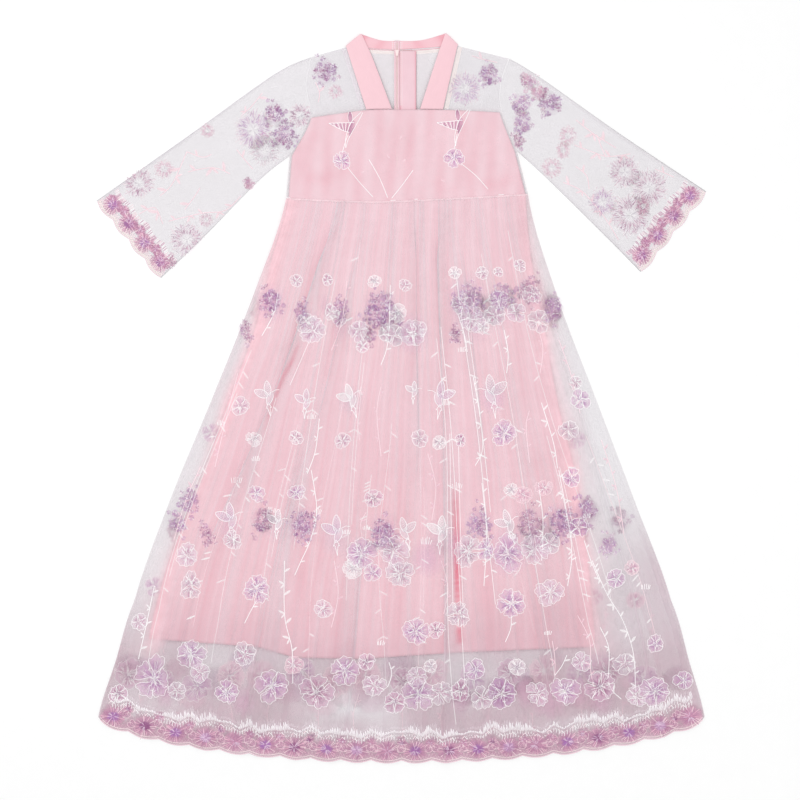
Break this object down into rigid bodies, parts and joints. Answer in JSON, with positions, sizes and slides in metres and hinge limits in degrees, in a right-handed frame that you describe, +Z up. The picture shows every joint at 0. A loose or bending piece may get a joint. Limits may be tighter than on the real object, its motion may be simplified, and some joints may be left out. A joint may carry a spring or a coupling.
{
  "type": "hanfu dress",
  "caption": "Girl's hanfu-style dress of embroidered net over pink satin, laid flat, with a V-shaped neck band, flared sleeves, gathered A-line skirt and scalloped hems.",
  "frame": {"origin": "centre of the dress's outline, on the surface that it lies on", "axes": "+X to the right as the front is looked at, +Y from the hem to the neck, +Z up, away from the surface and out of the front"},
  "size_m": [0.913, 1.0948, 0.0137],
  "materials": {
    "embroidered_net": "sheer soft net with lavender, plum, pink and white embroidery",
    "satin": "smooth pale pink satin with a soft sheen",
    "neck_band": "doubled pale pink satin, pressed edges",
    "zip_cloth": "pink woven tape",
    "zip_slider": "pale enamel"
  },
  "bodies": {
    "root": {"bodice_front_net": "embroidered_net", "bodice_front_satin": "satin", "bodice_back_net_left": "embroidered_net", "bodice_back_net_right": "embroidered_net", "bodice_back_satin_left": "satin", "bodice_back_satin_right": "satin", "yoke_front_left": "embroidered_net", "yoke_front_right": "embroidered_net", "yoke_back_left": "embroidered_net", "yoke_back_right": "embroidered_net", "sleeve_left": "embroidered_net", "sleeve_right": "embroidered_net", "neck_band_left": "neck_band", "neck_band_right": "neck_band", "overskirt_front": "embroidered_net", "overskirt_back": "embroidered_net", "underskirt_front": "satin", "underskirt_back": "satin", "zip_tape_left": "zip_cloth", "zip_tape_right": "zip_cloth", "zip_guard": "zip_cloth", "zip_slider": "zip_slider"}
  },
  "joints": []
}
